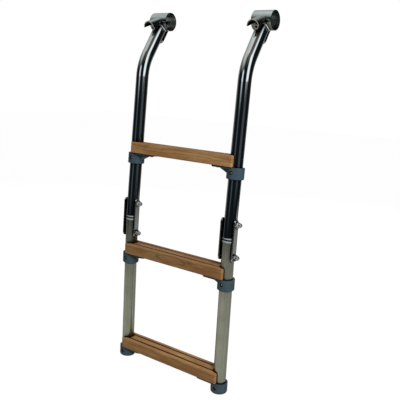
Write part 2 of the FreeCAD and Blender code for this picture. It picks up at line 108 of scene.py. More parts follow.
class LadderWood(bpy.types.PropertyGroup):
    """Oiled hardwood of the steps."""
    plain: colour("Plain wood", "Colour of most of a step", (0.268, 0.144, 0.052))
    # The light wood colour also lightens the edges, partly as wear and partly as a painted highlight
    light: colour("Light wood", "Colour of the open grain and of rubbed edges", (0.350, 0.205, 0.086))
    heart: colour("Heart wood", "Colour of the redder streaks", (0.262, 0.122, 0.050))
    dark: colour("Dark wood", "Colour of late grain, pores and knots", (0.120, 0.052, 0.018))
    ring_pitch: length("Ring pitch", "From one growth ring to the next", 5.2 * MM)
    ring_sway: length("Ring sway", "How far the rings wander along a step", 7 * MM)
    figure: share("Figure", "Strength of the grain", 0.34)
    middle_tone: share("Middle tone", "How much darker the middle step is", 0.16)


class LadderSteel(bpy.types.PropertyGroup):
    """Stainless steel of tubes, links, hooks and fasteners."""
    mirror: colour("Mirror steel", "Colour of the upper tubes", (0.80, 0.82, 0.83))
    mirror_roughness: share("Mirror roughness", "Roughness of the upper tubes", 0.045)
    satin: colour("Satin steel", "Colour of the lower tubes", (0.62, 0.62, 0.57))
    satin_roughness: share("Satin roughness", "Roughness of the lower tubes", 0.13)
    hook: colour("Hook steel", "Colour of sleeves, guides, bosses and straps", (0.66, 0.69, 0.69))
    hook_roughness: share("Hook roughness", "Roughness of the hook pieces", 0.16)
    plate: colour("Plate steel", "Colour of the link plates", (0.72, 0.73, 0.72))
    plate_roughness: share("Plate roughness", "Roughness of the link plates", 0.14)
    bright: colour("Bright steel", "Colour of bolts and nuts", (0.86, 0.87, 0.87))
    bright_roughness: share("Bright roughness", "Roughness of bolts and nuts", 0.035)
    # The screws' pale colour on a mostly unmetallic finish is partly a plated finish and partly a painted
    # highlight, the glint of the heads in their recesses
    screw: colour("Screw steel", "Colour of clamp screws and wood screws", (0.92, 0.93, 0.92))
    screw_roughness: share("Screw roughness", "Roughness of clamp screws and wood screws", 0.3)


class LadderPlastic(bpy.types.PropertyGroup):
    """Moulded plastic of step brackets, foot caps and end plugs."""
    bracket: colour("Bracket plastic", "Colour of the collars and foot caps", (0.036, 0.061, 0.077))
    plug: colour("Plug plastic", "Colour of the end plugs at the joint", (0.27, 0.30, 0.31))
    roughness: share("Plastic roughness", "Roughness of the moulded faces", 0.46)


class LadderFasteners(bpy.types.PropertyGroup):
    """Clamp screws in the collars' recesses and wood screws under the brackets."""
    clamp_head: length("Clamp screw head", "Diameter of a clamp screw's head", 3.1 * MM)
    clamp_height: length("Clamp screw height", "Height of a clamp screw's head", 1.2 * MM)
    clamp_socket: length("Clamp screw socket", "Across the flats of its hexagon socket", 1.3 * MM)
    clamp_seat: length("Clamp screw seat", "Floor of the recess from the tube's axis", 13.6 * MM)
    clamp_drop: length("Clamp screw drop", "Clamp screw below a step's underside", 9.5 * MM)
    wood_head: length("Wood screw head", "Diameter of a wood screw's head", 7.0 * MM)
    wood_height: length("Wood screw height", "Height of a wood screw's head", 2.2 * MM)
    wood_socket: length("Wood screw socket", "Across the flats of its hexagon socket", 2.5 * MM)
    wood_reach: length("Wood screw reach", "Wood screw from the tube's axis", 40.0 * MM)
    wood_seat: length("Wood screw seat", "Face of the tongue below a step's underside", 3.0 * MM)
    seed: IntProperty(name="Seed", description="Turns of the screw heads", default=7)


class LadderWebs(bpy.types.PropertyGroup):
    """Moulded webs between the collars and the tongues under the steps."""
    start: length("Web start", "Root of a web in the collar's wall, from the tube's axis", 14.5 * MM)
    reach: length("Web reach", "End of a web under the tongue, from the tube's axis", 37.0 * MM)
    depth: length("Web depth", "Root of a web below a step's underside", 13.9 * MM)
    tongue: length("Web top", "Underside of the tongue below a step's underside", 3.0 * MM)
    thickness: length("Web thickness", "Front to back of a web", 5.8 * MM)
    rounding: length("Web rounding", "Rounding of a web's lower edges", 0.9 * MM)


class LadderWelds(bpy.types.PropertyGroup):
    """Weld beads where the arms meet the hook sleeves."""
    radius: length("Bead radius", "Half the width of a weld bead", 1.5 * MM)
    ripple: share("Ripple", "How much the bead swells and narrows", 0.16)
    ripples: IntProperty(name="Ripples", description="Ripples round one bead", default=34)
    bend: degrees("Bend", "Turn of the upper tubes from straight to arm", 29.5)
    # The beads' near-white colour on an almost unmetallic finish is a painted highlight: it stands in for
    # the glints the beads catch
    colour: colour("Colour", "Colour of the beads", (0.95, 0.93, 0.98))
    roughness: share("Roughness", "Roughness of the beads", 0.3)


class LadderStage(bpy.types.PropertyGroup):
    """Floor, light and camera."""
    floor: colour("Floor", "Colour that the floor adds to its own glow", (0.05, 0.05, 0.05))
    floor_glow: share("Floor glow", "Even white light of the floor", 0.965)
    floor_size: length("Floor size", "Side of the floor", 14.0)
    above: share("Light from above", "Even light of the upper half of the room", 0.43, 4.0)
    below: share("Light from below", "Even light of the lower half of the room", 0.13, 4.0)
    key_power: FloatProperty(name="Key light", description="Power of the soft box at the upper right",
                             unit="POWER", default=38.0)
    back_power: FloatProperty(name="Back light", description="Power of the soft box behind, at the left",
                              unit="POWER", default=22.0)
    lens: FloatProperty(name="Lens", description="Focal length of the camera in millimetres",
                        default=51.81)
    camera_place: FloatVectorProperty(name="Camera", description="Where the camera stands",
                                      subtype="TRANSLATION", default=(0.6630, -0.9523, -0.1200))
    camera_target: FloatVectorProperty(name="Target", description="What the camera looks at",
                                       subtype="TRANSLATION", default=(0.0497, -0.0741, -0.3354))
    camera_roll: degrees("Roll", "Turn of the camera about its own axis", 3.29)


# Building node trees

# The Mix node has a set of sockets for each kind of data; these are the ones for colours
MIX_AMOUNT, MIX_FIRST, MIX_SECOND, MIX_RESULT = 0, 6, 7, 2


class Graph:
    """Adds nodes to one tree and links what they are given."""

    def __init__(self, tree):
        self.tree = tree

    def feed(self, socket, value):
        if isinstance(value, bpy.types.NodeSocket):
            self.tree.links.new(value, socket)
            return
        if socket.type == "RGBA" and len(value) == 3:
            value = (*value, 1.0)
        socket.default_value = value

    def node(self, kind, inputs=None, **settings):
        made = self.tree.nodes.new(kind)
        for name, value in settings.items():
            setattr(made, name, value)
        for key, value in (inputs or {}).items():
            self.feed(made.inputs[key], value)
        return made

    def math(self, operation, *values):
        return self.node("ShaderNodeMath", dict(enumerate(values)), operation=operation).outputs[0]

    def vector(self, operation, *values):
        made = self.node("ShaderNodeVectorMath", operation=operation)
        for socket, value in zip(made.inputs, values):
            self.feed(socket, value)
        gives_number = operation in ("DOT_PRODUCT", "LENGTH", "DISTANCE")
        return made.outputs["Value" if gives_number else "Vector"]

    def scaled(self, vector, factor):
        made = self.node("ShaderNodeVectorMath", operation="SCALE")
        self.feed(made.inputs["Vector"], vector)
        self.feed(made.inputs["Scale"], factor)
        return made.outputs["Vector"]

    def stretch(self, vector, x, y, z):
        """The vector with each part divided by a size, so that a noise of scale 1 has that size."""
        return self.vector("DIVIDE", vector, (x, y, z))

    def noise(self, vector, detail=2.0, roughness=0.5):
        made = self.node("ShaderNodeTexNoise",
                         {"Vector": vector, "Scale": 1.0, "Detail": detail, "Roughness": roughness})
        return made.outputs["Fac"]

    def noise_along(self, number, detail=1.0):
        """Noise along one number only."""
        made = self.node("ShaderNodeTexNoise", {"Scale": 1.0, "Detail": detail}, noise_dimensions="1D")
        self.feed(made.inputs["W"], number)
        return made.outputs["Fac"]

    def step(self, value, low, high, to_low=0.0, to_high=1.0):
        """A smooth rise from low to high."""
        made = self.node("ShaderNodeMapRange", {
            "Value": value, "From Min": low, "From Max": high, "To Min": to_low, "To Max": to_high,
        }, interpolation_type="SMOOTHSTEP")
        return made.outputs["Result"]

    def mix(self, amount, first, second, blend="MIX"):
        made = self.node("ShaderNodeMix", data_type="RGBA", blend_type=blend, clamp_factor=True)
        self.feed(made.inputs[MIX_AMOUNT], amount)
        self.feed(made.inputs[MIX_FIRST], first)
        self.feed(made.inputs[MIX_SECOND], second)
        return made.outputs[MIX_RESULT]

    def bump(self, height, distance, strength=1.0):
        made = self.node("ShaderNodeBump", {"Strength": strength, "Distance": distance, "Height": height})
        return made.outputs["Normal"]

    def group(self, tree, inputs):
        made = self.node("ShaderNodeGroup", node_tree=tree)
        for name, value in inputs.items():
            self.feed(made.inputs[name], value)
        return made.outputs


def shader_group(name, inputs, outputs):
    """An empty shader node group with named inputs and outputs, its graph and its end nodes."""
    tree = bpy.data.node_groups.new(name, "ShaderNodeTree")
    for label, kind, default in inputs:
        socket = tree.interface.new_socket(name=label, in_out="INPUT", socket_type="NodeSocket" + kind)
        if default is not None:
            socket.default_value = default
    for label, kind in outputs:
        tree.interface.new_socket(name=label, in_out="OUTPUT", socket_type="NodeSocket" + kind)
    graph = Graph(tree)
    return graph, graph.node("NodeGroupInput").outputs, graph.node("NodeGroupOutput").inputs


def fine_lines_group():
    """Fine straight marks, as polishing and drawing leave on metal. Sizes are in metres."""
    graph, given, result = shader_group(
        "fine_lines",
        [("Vector", "Vector", None), ("Across", "Float", 0.0004), ("Along", "Float", 0.03)],
        [("Lines", "Float")])
    sizes = graph.node("ShaderNodeCombineXYZ",
                       {"X": given["Across"], "Y": given["Across"], "Z": given["Along"]}).outputs[0]
    place = graph.vector("DIVIDE", given["Vector"], sizes)
    graph.feed(result["Lines"], graph.noise(place, 3.0, 0.6))
    return graph.tree


def clouds_group():
    """Soft patches between two values, such as finger marks and water stains."""
    graph, given, result = shader_group(
        "clouds",
        [("Vector", "Vector", None), ("Size", "Float", 0.02), ("Low", "Float", 0.0),
         ("High", "Float", 1.0)],
        [("Value", "Float")])
    place = graph.scaled(given["Vector"], graph.math("DIVIDE", 1.0, given["Size"]))
    patches = graph.noise(place, 4.0, 0.6)
    graph.feed(result["Value"], graph.step(patches, 0.35, 0.68, given["Low"], given["High"]))
    return graph.tree


def edge_wear_and_highlight_group():
    """A mask that is 1 on rubbed edges and 0 on open faces. Where the materials lighten edges with it,
    that is partly wear and partly a painted highlight along the edges.
    """
    graph, given, result = shader_group(
        "edge_wear_and_highlight",
        [("Vector", "Vector", None), ("Radius", "Float", 0.001), ("Patch Size", "Float", 0.006)],
        [("Mask", "Float")])
    rounded = graph.node("ShaderNodeBevel", {"Radius": given["Radius"]}, samples=4).outputs["Normal"]
    flat = graph.node("ShaderNodeNewGeometry").outputs["Normal"]
    turn = graph.math("SUBTRACT", 1.0, graph.vector("DOT_PRODUCT", rounded, flat))
    place = graph.scaled(given["Vector"], graph.math("DIVIDE", 1.0, given["Patch Size"]))
    patches = graph.noise(place, 3.0)
    edge = graph.step(turn, 0.02, 0.25)
    graph.feed(result["Mask"], graph.math("MULTIPLY", edge, graph.step(patches, 0.3, 0.6, 0.35, 1.0)))
    return graph.tree


def crevice_shade_group():
    """A mask of painted shade: 1 deep in holes, grooves and gaps, where ambient occlusion finds shade, and
    0 on open faces.
    """
    graph, given, result = shader_group(
        "crevice_shade",
        [("Reach", "Float", 0.005), ("Open", "Float", 0.8), ("Closed", "Float", 0.3)],
        [("Mask", "Float")])
    light = graph.node("ShaderNodeAmbientOcclusion", {"Distance": given["Reach"]}, samples=8)
    graph.feed(result["Mask"], graph.step(light.outputs["AO"], given["Closed"], given["Open"], 1.0, 0.0))
    return graph.tree


def new_material(name):
    """A node material, its graph, its Principled shader and the place on the piece."""
    material = bpy.data.materials.new(name)
    material.use_nodes = True
    material.node_tree.nodes.clear()
    graph = Graph(material.node_tree)
    shader = graph.node("ShaderNodeBsdfPrincipled")
    graph.node("ShaderNodeOutputMaterial", {"Surface": shader.outputs["BSDF"]})
    place = graph.node("ShaderNodeTexCoord").outputs["Object"]
    return material, graph, shader, place


# Materials

# The grain's sizes: along a step, across it and up
SWAY_SIZE = (0.14, 0.035, 0.035)
PATCH_SIZE = (0.05, 0.02, 0.02)
HEART_SIZE = (0.07, 0.011, 0.011)
FIBRE_SIZE = (0.045, 0.0009, 0.0009)
PORE_SIZE = (0.007, 0.00045, 0.00045)
# The growth rings are ovals about a line along the steps, in front of them and above
RING_OVAL = (0.0, 1.0, 1.6)
FROM_PITH = (0.0, 0.16, -0.05)
# Where the knots sit in the steps, and how far each bends the grain
KNOTS = ((-0.080, -0.058, -0.455), (0.047, -0.0915, -0.4585), (0.010, -0.050, -0.672),
         (-0.030, -0.080, -0.268))
KNOT_REACH = (0.022, 0.012, 0.009)
# The arched figure on the middle step's front
ARCH = (0.0, -0.0915, -0.4615)
ARCH_REACH = (0.036, 0.030, 0.0072)
ARCH_WAVE = (0.01, 0.01, 0.004)
HEART_SHIFT = (3.0, 1.0, 2.0)
# Painted shade in the grooves and gaps: how far ambient occlusion looks, and where it starts to darken
WOOD_GAP_SHADE = {"Reach": 0.004, "Open": 0.97, "Closed": 0.74}
# How wide the lighter edges are: partly wear and partly a painted highlight along the edges
WOOD_EDGE_WEAR_AND_HIGHLIGHT = {"Radius": 0.0016, "Patch Size": 0.012}
# The dark colour of that painted shade
WOOD_SHADE_COLOUR = (0.040, 0.013, 0.006)

# Marks on steel, by their width and length
FINE_MARKS = {"Across": 0.00045, "Along": 0.05}
BROAD_MARKS = {"Across": 0.0022, "Along": 0.4}
DRAWN_MARKS = {"Across": 0.0037, "Along": 0.3}
STAIN_SIZE = 0.03
STEEL_EDGE = 0.0006
# Colour of rubbed steel edges: wear, and where it is mixed in strongly, a painted glint
RUBBED_STEEL_AND_GLINT = (0.9, 0.9, 0.9)
# Painted shade in holes and gaps, such as the sleeves' bores, from ambient occlusion; and below, its dark
# colour
STEEL_GAP_SHADE = {"Reach": 0.025, "Open": 0.92, "Closed": 0.62}
STEEL_SHADE_COLOUR = (0.02, 0.02, 0.018)

PLASTIC_CLOUD = 0.015
PLASTIC_EDGE = 0.0009
PLASTIC_GRIT = (0.0005, 0.0005, 0.0005)
# Painted shade in recesses and gaps, such as the clamp screws' holes and the joint between the plugs; and
# below, its dark colour
PLASTIC_GAP_SHADE = {"Reach": 0.0035, "Closed": 0.78}
PLASTIC_SHADE_COLOUR = (0.004, 0.005, 0.006)


def darker(tint, factor):
    return tuple(factor * part for part in tint)


def grown_rings(graph, place, wood):
    """The growth rings and the knots that they wander round."""
    sway = graph.noise(graph.stretch(place, *SWAY_SIZE), 2.0)
    across = graph.vector("MULTIPLY", place, RING_OVAL)
    ring = graph.vector("LENGTH", graph.vector("ADD", across, FROM_PITH))
    ring = graph.math("ADD", ring, graph.math("MULTIPLY", sway, 4 * wood.ring_sway))
    knots = None
    for centre in KNOTS:
        apart = graph.vector("DIVIDE", graph.vector("SUBTRACT", place, centre), KNOT_REACH)
        near = graph.step(graph.vector("LENGTH", apart), 0.0, 1.0, 1.0, 0.0)
        knots = near if knots is None else graph.math("MAXIMUM", knots, near)
    ring = graph.math("ADD", ring, graph.math("MULTIPLY", knots, 4 * wood.ring_pitch))
    return graph.noise_along(graph.math("DIVIDE", ring, wood.ring_pitch), 2.0), knots


def arch_line(graph, place):
    """One wavy arched line of late grain."""
    apart = graph.vector("DIVIDE", graph.vector("SUBTRACT", place, ARCH), ARCH_REACH)
    wave = graph.math("MULTIPLY", graph.noise(graph.stretch(place, *ARCH_WAVE)), 0.3)
    wavy = graph.math("ADD", graph.vector("LENGTH", apart), wave)
    off_line = graph.math("ABSOLUTE", graph.math("SUBTRACT", wavy, 1.1))
    return graph.step(off_line, 0.0, 0.16, 0.6, 0.0)


def on_middle_step(graph, place, amount):
    """The amount on the middle step, and 0 on the others."""
    up = graph.node("ShaderNodeSeparateXYZ", {0: place}).outputs["Z"]
    off_middle = graph.math("ABSOLUTE", graph.math("SUBTRACT", up, middle("middle_step").z))
    return graph.step(off_middle, 0.04, 0.05, amount, 0.0)


def wood_material(wood, groups):
    """Oiled hardwood: growth rings that wander round knots, fine fibres and short open pores, lighter
    edges that are partly wear and partly painted highlight, and painted shade in the grooves and gaps.
    """
    material, graph, shader, place = new_material("oiled_hardwood")
    rings, knots = grown_rings(graph, place, wood)
    fibres = graph.noise(graph.stretch(place, *FIBRE_SIZE), 3.0, 0.65)
    pores = graph.noise(graph.stretch(place, *PORE_SIZE), 1.0)
    tone = graph.noise(graph.stretch(place, *PATCH_SIZE), 3.0, 0.6)
    heart = graph.noise(graph.stretch(graph.vector("ADD", place, HEART_SHIFT), *HEART_SIZE), 3.0, 0.6)

    body = graph.mix(graph.step(tone, 0.35, 0.65), wood.plain, wood.light)
    body = graph.mix(graph.step(heart, 0.42, 0.62, 0.0, 0.8), body, wood.heart)
    body = graph.mix(graph.step(rings, 0.42, 0.66, 0.0, wood.figure), body, wood.dark)
    body = graph.mix(graph.step(fibres, 0.45, 0.75, 0.0, 0.4), body, wood.dark)
    body = graph.mix(graph.step(pores, 0.62, 0.72, 0.0, 0.5), body, wood.dark)
    body = graph.mix(graph.step(knots, 0.55, 1.0, 0.0, 0.6), body, wood.dark)
    body = graph.mix(arch_line(graph, place), body, wood.dark)
    # Lighter edges: partly wear, partly a painted highlight
    rubbed_edge_highlight = graph.group(groups["edge_wear_and_highlight"], {"Vector": place, **WOOD_EDGE_WEAR_AND_HIGHLIGHT})["Mask"]
    body = graph.mix(graph.math("MULTIPLY", rubbed_edge_highlight, 0.35), body, wood.light)
    body = graph.mix(on_middle_step(graph, place, wood.middle_tone), body, BLACK)
    # Painted shade: the grooves and gaps darkened where ambient occlusion finds them
    gap_shade = graph.group(groups["crevice_shade"], WOOD_GAP_SHADE)["Mask"]
    body = graph.mix(graph.math("MULTIPLY", gap_shade, 0.85), body, WOOD_SHADE_COLOUR)
    graph.feed(shader.inputs["Base Color"], body)
    graph.feed(shader.inputs["Roughness"], graph.step(fibres, 0.3, 0.7, 0.42, 0.6))
    relief = graph.math("SUBTRACT", fibres, graph.step(pores, 0.62, 0.72))
    graph.feed(shader.inputs["Normal"], graph.bump(relief, 0.18 * MM, 0.5))
    shader.inputs["Specular IOR Level"].default_value = 0.1
    return material


def steel_material(name, steel, roughness, groups, lines, clouds, relief, rub_and_glint=0.2, metallic=1.0):
    """Stainless steel with fine lengthwise marks, soft stains, rubbed edges that a strong rub lightens
    into a painted glint, and painted shade in holes and gaps.
    """
    material, graph, shader, place = new_material(name)
    lines_of = groups["fine_lines"]
    marks = graph.group(lines_of, {"Vector": place, **FINE_MARKS})["Lines"]
    broad = graph.group(lines_of, {"Vector": place, **BROAD_MARKS})["Lines"]
    drawn = graph.group(lines_of, {"Vector": place, **DRAWN_MARKS})["Lines"]
    stains = graph.group(groups["clouds"], {"Vector": place, "Size": STAIN_SIZE})["Value"]
    edge_mask = graph.group(groups["edge_wear_and_highlight"], {"Vector": place, "Radius": STEEL_EDGE})["Mask"]
    gap_shade = graph.group(groups["crevice_shade"], STEEL_GAP_SHADE)["Mask"]
    dull = darker(steel, 0.72)
    greenish = (0.72 * steel[0], 0.92 * steel[1], 0.76 * steel[2])
    tone = graph.mix(graph.step(drawn, 0.4, 0.65, 0.0, lines), steel, greenish)
    tone = graph.mix(graph.step(broad, 0.4, 0.65, 0.0, 0.9 * lines), tone, dull)
    tone = graph.mix(graph.math("MULTIPLY", stains, clouds), tone, dull)
    # Lighter edges: wear, and at a strong rub a painted glint
    tone = graph.mix(graph.math("MULTIPLY", edge_mask, rub_and_glint), tone, RUBBED_STEEL_AND_GLINT)
    # Painted shade in holes and gaps
    tone = graph.mix(graph.math("MULTIPLY", gap_shade, 0.92), tone, STEEL_SHADE_COLOUR)
    graph.feed(shader.inputs["Base Color"], tone)
    spread = graph.math("ADD", graph.math("MULTIPLY", stains, 0.6 * clouds),
                        graph.step(marks, 0.3, 0.75, 0.0, lines))
    graph.feed(shader.inputs["Roughness"],
               graph.math("MULTIPLY", roughness, graph.math("ADD", 0.8, spread)))
    graph.feed(shader.inputs["Normal"], graph.bump(marks, relief, 1.0))
    shader.inputs["Metallic"].default_value = metallic
    return material


def plastic_material(name, plastic, roughness, groups, open_light=0.96):
    """Moulded plastic with a fine spark texture, rubbed edges, faint stains and painted shade in recesses
    and gaps.
    """
    material, graph, shader, place = new_material(name)
    tone = graph.group(groups["clouds"], {"Vector": place, "Size": PLASTIC_CLOUD})["Value"]
    edge_mask = graph.group(groups["edge_wear_and_highlight"], {"Vector": place, "Radius": PLASTIC_EDGE})["Mask"]
    # Painted shade in recesses and gaps
    hidden_shade = graph.group(groups["crevice_shade"], {"Open": open_light, **PLASTIC_GAP_SHADE})["Mask"]
    pale = tuple(min(1.0, 1.7 * part + 0.02) for part in plastic)
    body = graph.mix(graph.math("MULTIPLY", tone, 0.7), plastic, darker(plastic, 0.8))
    body = graph.mix(graph.math("MULTIPLY", edge_mask, 0.5), body, pale)
    body = graph.mix(graph.math("MULTIPLY", hidden_shade, 0.9), body, PLASTIC_SHADE_COLOUR)
    graph.feed(shader.inputs["Base Color"], body)
    graph.feed(shader.inputs["Roughness"], graph.step(tone, 0.0, 1.0, roughness - 0.06, roughness + 0.08))
    grit = graph.noise(graph.stretch(place, *PLASTIC_GRIT), 2.0)
    graph.feed(shader.inputs["Normal"], graph.bump(grit, 0.06 * MM, 0.6))
    return material


def dress(nodes, material):
    """Gives the CAD nodes this material."""
    for name in nodes:
        piece = frame["nodes"][name]
        if not piece.material_slots:
            piece.data.materials.append(material)
        for slot in piece.material_slots:
            slot.material = material


def shared_groups():
    """The shader groups that several materials use, made once."""
    makers = {"fine_lines": fine_lines_group, "clouds": clouds_group, "edge_wear_and_highlight": edge_wear_and_highlight_group,
              "crevice_shade": crevice_shade_group}
    for name, make in makers.items():
        if name not in bpy.data.node_groups:
            make()
    return {name: bpy.data.node_groups[name] for name in makers}


# Where the sections stand, read from the frame

class Section:
    """One tube section of the ladder: its body, its origin at the joint, its lean and its steps."""

    def __init__(self, body, origin, lean, brackets):
        self.body = body
        self.matrix = Matrix.Translation(origin) @ Matrix.Rotation(-lean, 4, "X")
        self.undersides = [self.top_of(bracket) for bracket in brackets]

    def top_of(self, node):
        """The highest point of a node, measured along the section."""
        inverse = self.matrix.inverted()
        return max((inverse @ vertex.co).z for vertex in frame["nodes"][node].data.vertices)

    def point(self, x, y, z):
        return self.matrix @ Vector((x, y, z))

    def way(self, x, y, z):
        return self.matrix.to_3x3() @ Vector((x, y, z))


def hinge_place(name):
    return Vector(next(joint["pos_m"] for joint in frame["joints"] if joint["name"] == name))


def middle(node):
    low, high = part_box(node)
    return (low + high) / 2


def half_size(node):
    low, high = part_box(node)
    return (high - low) / 2


LINK = hinge_place("upper_hinge") - hinge_place("lower_hinge")
TUBE_X = middle("lower_rail_right").x
BOLT_FORWARD = middle("lower_rail_right").y - hinge_place("lower_hinge").y
# The links lean half as far as the upper section does
UPPER_LEAN = 2 * math.atan2(LINK.y, LINK.z)


def sections():
    """The upper and lower section, each with its origin at the joint."""
    half = LINK.length / 2
    upper = Matrix.Rotation(-UPPER_LEAN, 4, "X") @ Vector((0, BOLT_FORWARD, -half))
    lower = Vector((0, BOLT_FORWARD, half))
    return (Section("upper_section", hinge_place("upper_hinge") + upper, UPPER_LEAN,
                    ["top_bracket_left"]),
            Section("lower_section", hinge_place("lower_hinge") + lower, 0.0,
                    ["middle_bracket_left", "foot_bracket_left"]))


# Geometry Nodes

HEAD_CORNERS = 48
SHARP_ANGLE = 0.5
BEAD_CORNERS = 10
BEAD_POINTS = 240


def geometry_group(name, inputs):
    """An empty Geometry Nodes group with named inputs and one result, its graph and its inputs."""
    tree = bpy.data.node_groups.new(name, "GeometryNodeTree")
    for label, kind in inputs:
        tree.interface.new_socket(name=label, in_out="INPUT", socket_type="NodeSocket" + kind)
    tree.interface.new_socket(name="Result", in_out="OUTPUT", socket_type="NodeSocketGeometry")
    graph = Graph(tree)
    return graph, graph.node("NodeGroupInput").outputs


def hand_out(graph, geometry, material):
    """Ends a Geometry Nodes group with real, painted geometry."""
    real = graph.node("GeometryNodeRealizeInstances", {"Geometry": geometry})
    painted = graph.node("GeometryNodeSetMaterial", {"Geometry": real.outputs[0], "Material": material})
    graph.node("NodeGroupOutput", {"Result": painted.outputs[0]})
    return graph.tree


def screw_tree():
    """Button heads with a hexagon socket on points, each turned to the point's own facing."""
    graph, given = geometry_group("socket_screws", (
        ("Places", "Geometry"), ("Head Diameter", "Float"), ("Head Height", "Float"),
        ("Socket Width", "Float"), ("Seed", "Int"), ("Material", "Material")))
    radius = graph.math("MULTIPLY", given["Head Diameter"], 0.5)
    height = given["Head Height"]

    def cylinder(corners, wide, tall, low):
        made = graph.node("GeometryNodeMeshCylinder", {"Vertices": corners, "Radius": wide, "Depth": tall})
        half = graph.math("MULTIPLY", tall, 0.5)
        lift = graph.node("ShaderNodeCombineXYZ", {"Z": graph.math("ADD", low, half)}).outputs[0]
        return graph.node("GeometryNodeTransform",
                          {"Geometry": made.outputs["Mesh"], "Translation": lift}).outputs[0]

    ball = graph.node("GeometryNodeMeshUVSphere",
                      {"Segments": HEAD_CORNERS, "Rings": HEAD_CORNERS // 2, "Radius": 1.0})
    bulge = graph.math("MULTIPLY", radius, 1.12)
    scale = graph.node("ShaderNodeCombineXYZ", {"X": bulge, "Y": bulge, "Z": height}).outputs[0]
    dome = graph.node("GeometryNodeTransform", {"Geometry": ball.outputs["Mesh"], "Scale": scale})
    blank = graph.node("GeometryNodeMeshBoolean", operation="INTERSECT")
    for part in (dome.outputs[0], cylinder(HEAD_CORNERS, radius, height, 0.0)):
        graph.feed(blank.inputs["Mesh 2"], part)
    socket_depth = graph.math("MULTIPLY", height, 0.6)
    corner = graph.math("DIVIDE", given["Socket Width"], math.sqrt(3))
    hexagon = cylinder(6, corner, height, graph.math("SUBTRACT", height, socket_depth))
    head = graph.node("GeometryNodeMeshBoolean",
                      {"Mesh 1": blank.outputs["Mesh"], "Mesh 2": hexagon}, operation="DIFFERENCE")
    smooth = graph.node("GeometryNodeSetShadeSmooth", {"Geometry": head.outputs["Mesh"]}, domain="FACE")
    bend = graph.node("GeometryNodeInputMeshEdgeAngle").outputs["Unsigned Angle"]
    sharp = graph.node("FunctionNodeCompare", {0: bend, 1: SHARP_ANGLE}, data_type="FLOAT").outputs[0]
    crisp = graph.node("GeometryNodeSetShadeSmooth", {
        "Geometry": smooth.outputs[0], "Selection": sharp, "Shade Smooth": False}, domain="EDGE")
    facing = graph.node("GeometryNodeInputNamedAttribute", {"Name": "facing"}, data_type="FLOAT_VECTOR")
    aimed = graph.node("FunctionNodeAlignRotationToVector", {"Vector": facing.outputs[0]}, axis="Z")
    chance = graph.node("FunctionNodeRandomValue", {2: 0.0, 3: math.pi / 3, "Seed": given["Seed"]},
                        data_type="FLOAT").outputs[1]
    spin = graph.node("FunctionNodeAxisAngleToRotation", {"Axis": (0.0, 0.0, 1.0), "Angle": chance})
    turned = graph.node("FunctionNodeRotateRotation",
                        {"Rotation": aimed.outputs[0], "Rotate By": spin.outputs[0]},
                        rotation_space="LOCAL")
    placed = graph.node("GeometryNodeInstanceOnPoints", {
        "Points": given["Places"], "Instance": crisp.outputs[0], "Rotation": turned.outputs[0]})
    return hand_out(graph, placed.outputs[0], given["Material"])


def weld_tree():
    """A rippled round bead along every closed line."""
    graph, given = geometry_group("weld_beads", (
        ("Lines", "Geometry"), ("Radius", "Float"), ("Ripple", "Float"), ("Ripples", "Int"),
        ("Material", "Material")))
    line = graph.node("GeometryNodeMeshToCurve", {"Mesh": given["Lines"]})
    along = graph.node("GeometryNodeSplineParameter").outputs["Factor"]
    turns = graph.math("MULTIPLY", graph.math("MULTIPLY", along, given["Ripples"]), math.tau)
    swell = graph.math("MULTIPLY", graph.math("SINE", turns), given["Ripple"])
    width = graph.math("MULTIPLY", graph.math("ADD", 1.0, swell), given["Radius"])
    ring = graph.node("GeometryNodeCurvePrimitiveCircle", {"Resolution": BEAD_CORNERS, "Radius": 1.0})
    bead = graph.node("GeometryNodeCurveToMesh", {
        "Curve": line.outputs[0], "Profile Curve": ring.outputs[0], "Scale": width})
    smooth = graph.node("GeometryNodeSetShadeSmooth", {"Geometry": bead.outputs[0]}, domain="FACE")
    return hand_out(graph, smooth.outputs[0], given["Material"])


def rings_object(name, rings):
    """Closed lines through the points of each ring."""
    mesh = bpy.data.meshes.new(name)
    points, edges = [], []
    for ring in rings:
        first = len(points)
        points += [tuple(point) for point in ring]
        edges += [(first + at, first + (at + 1) % len(ring)) for at in range(len(ring))]
    mesh.from_pydata(points, edges, [])
    return put_in_scene(name, mesh)


def points_object(name, places):
    """Loose points, each a place and the way it faces."""
    mesh = bpy.data.meshes.new(name)
    mesh.from_pydata([tuple(place) for place, _ in places], [], [])
    facing = mesh.attributes.new("facing", "FLOAT_VECTOR", "POINT")
    facing.data.foreach_set("vector", [part for _, way in places for part in way])
    return put_in_scene(name, mesh)


def grow(made, tree, values):
    """Runs the tree on the object and keeps its result as a plain mesh."""
    modifier = made.modifiers.new("grow", "NODES")
    modifier.node_group = tree
    sockets = {item.name: item.identifier for item in tree.interface.items_tree
               if item.in_out == "INPUT"}
    for name, value in values.items():
        modifier[sockets[name]] = value
    shown = made.evaluated_get(bpy.context.evaluated_depsgraph_get())
    mesh = bpy.data.meshes.new_from_object(shown)
    if not mesh.polygons:
        raise RuntimeError(f"{made.name}: the nodes made nothing")
    made.modifiers.remove(modifier)
    made.data = mesh
    mesh.name = made.name
    return made


# Operators

SUNK_IN_TONGUE = 1.0 * MM


class LadderOperator:
    """What all the operators share."""
    bl_options = {"REGISTER", "UNDO"}

    @classmethod
    def poll(cls, context):
        return context.scene is not None


class LADDER_OT_steps(LadderOperator, bpy.types.Operator):
    """Finish the three hardwood steps"""
    bl_idname = "ladder.steps"
    bl_label = "Steps"

    def execute(self, context):
        dress(STEPS, wood_material(context.scene.ladder_wood, shared_groups()))
        return {"FINISHED"}


